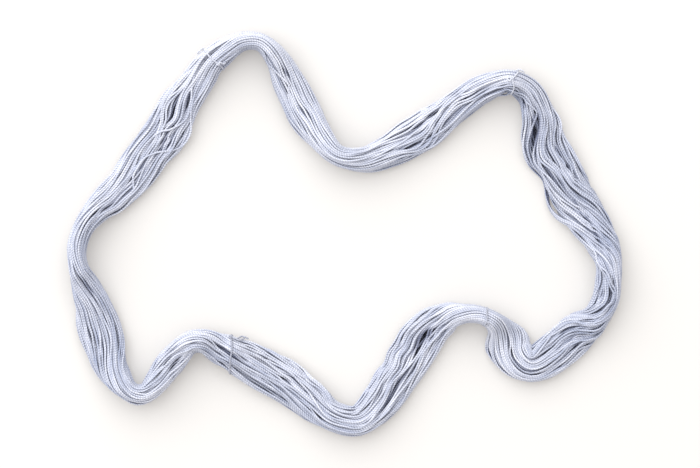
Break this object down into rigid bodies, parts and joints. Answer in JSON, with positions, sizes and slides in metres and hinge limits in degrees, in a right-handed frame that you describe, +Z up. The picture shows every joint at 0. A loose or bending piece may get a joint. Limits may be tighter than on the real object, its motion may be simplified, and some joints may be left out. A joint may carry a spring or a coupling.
{
  "type": "skein of fingering yarn",
  "caption": "Untwisted hank of pale blue-grey fingering yarn lying as a loose wavy loop, held together by short yarn ties with their knots and free ends.",
  "frame": {"origin": "middle of the skein's outline seen from above, on the surface that it rests on", "axes": "+X along the longer side of the loop, +Y across it towards the upper edge, +Z up from the surface"},
  "size_m": [0.4595, 0.3346, 0.0334],
  "materials": {
    "yarn": "soft plied wool, matt with a slight sheen, pale blue-grey dye that varies a little along the strand",
    "tie_yarn": "the same plied wool, a little darker"
  },
  "bodies": {
    "root": {"hank": "yarn", "tie_upper_left": "tie_yarn", "tie_lower_left": "tie_yarn", "tie_lower_right": "tie_yarn", "tie_upper_right": "tie_yarn"}
  },
  "joints": []
}
